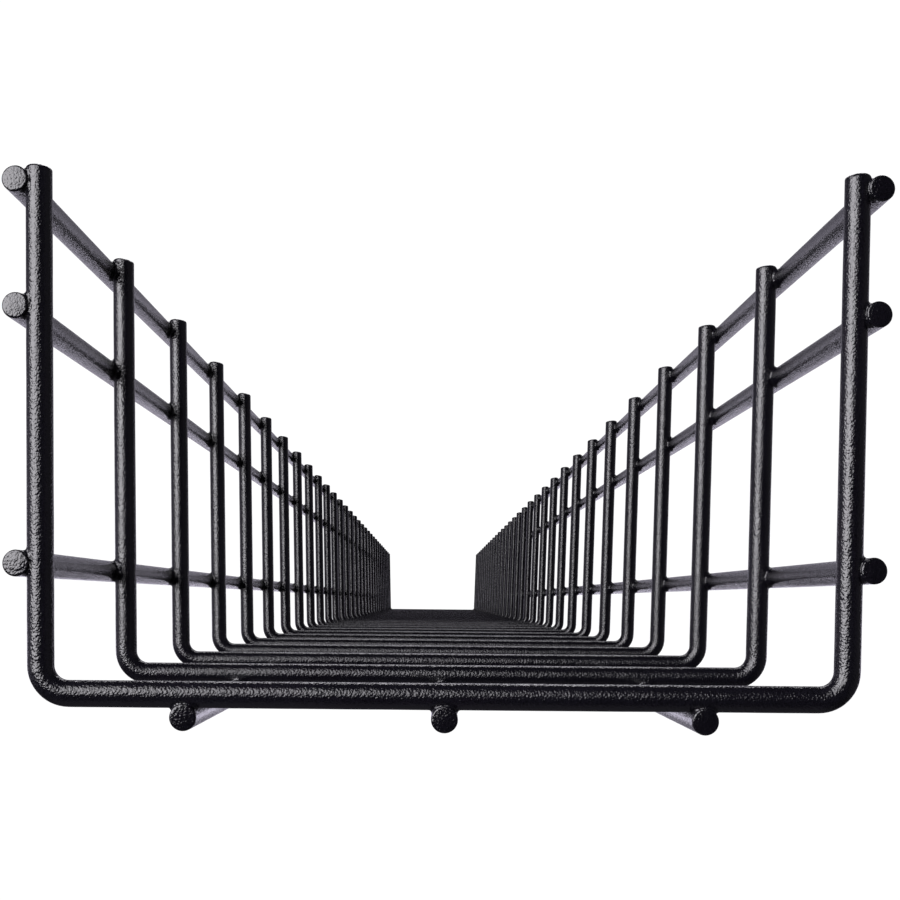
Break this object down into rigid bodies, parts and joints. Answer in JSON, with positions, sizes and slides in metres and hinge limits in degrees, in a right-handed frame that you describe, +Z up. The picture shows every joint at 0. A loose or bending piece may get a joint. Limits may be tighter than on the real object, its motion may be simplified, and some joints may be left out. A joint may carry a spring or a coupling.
{
  "type": "cable tray",
  "caption": "Long U-shaped wire-mesh cable tray, open at the top and both ends: bent cross wires with straight rails welded along their outside, black powder-coated.",
  "frame": {"origin": "mid-length and mid-width, on the plane the three base rails rest on", "axes": "+X across the tray to the right as seen from the -Y end, +Y along the tray, +Z up through its open top"},
  "size_m": [0.1752, 3.006, 0.1102],
  "materials": {
    "powder_coat": "satin black powder coat with a fine leather texture"
  },
  "bodies": {
    "root": {"cross_wire_01": "powder_coat", "cross_wire_02": "powder_coat", "cross_wire_03": "powder_coat", "cross_wire_04": "powder_coat", "cross_wire_05": "powder_coat", "cross_wire_06": "powder_coat", "cross_wire_07": "powder_coat", "cross_wire_08": "powder_coat", "cross_wire_09": "powder_coat", "cross_wire_10": "powder_coat", "cross_wire_11": "powder_coat", "cross_wire_12": "powder_coat", "cross_wire_13": "powder_coat", "cross_wire_14": "powder_coat", "cross_wire_15": "powder_coat", "cross_wire_16": "powder_coat", "cross_wire_17": "powder_coat", "cross_wire_18": "powder_coat", "cross_wire_19": "powder_coat", "cross_wire_20": "powder_coat", "cross_wire_21": "powder_coat", "cross_wire_22": "powder_coat", "cross_wire_23": "powder_coat", "cross_wire_24": "powder_coat", "cross_wire_25": "powder_coat", "cross_wire_26": "powder_coat", "cross_wire_27": "powder_coat", "cross_wire_28": "powder_coat", "cross_wire_29": "powder_coat", "cross_wire_30": "powder_coat", "cross_wire_31": "powder_coat", "base_rail_left": "powder_coat", "base_rail_middle": "powder_coat", "base_rail_right": "powder_coat", "left_rail_lower": "powder_coat", "left_rail_middle": "powder_coat", "left_rail_top": "powder_coat", "right_rail_lower": "powder_coat", "right_rail_middle": "powder_coat", "right_rail_top": "powder_coat"}
  },
  "joints": []
}
